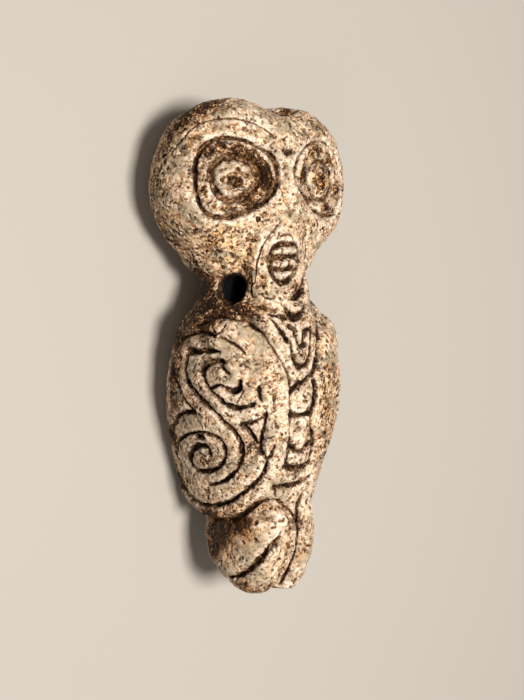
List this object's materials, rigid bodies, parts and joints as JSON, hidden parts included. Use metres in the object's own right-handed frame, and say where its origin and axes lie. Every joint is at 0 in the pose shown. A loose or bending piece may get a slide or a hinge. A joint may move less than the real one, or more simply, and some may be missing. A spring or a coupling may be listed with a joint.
{
  "type": "owl idol",
  "caption": "Small owl idol carved in the round from stone, with ringed eyes, folded wings with scrolled carving, short legs and a boring through the neck.",
  "frame": {"origin": "centre of the bounding box's underside, on the surface that the idol lies on with its back down", "axes": "+Y from the feet to the crown, +Z out of the owl's front, up, and +X to the owl's own left"},
  "size_m": [0.0332, 0.0778, 0.0247],
  "materials": {
    "stone": "worn pale stone, hand carved and rough, with brown soil in its grooves and pores"
  },
  "bodies": {
    "root": {"owl_idol": "stone"}
  },
  "joints": []
}
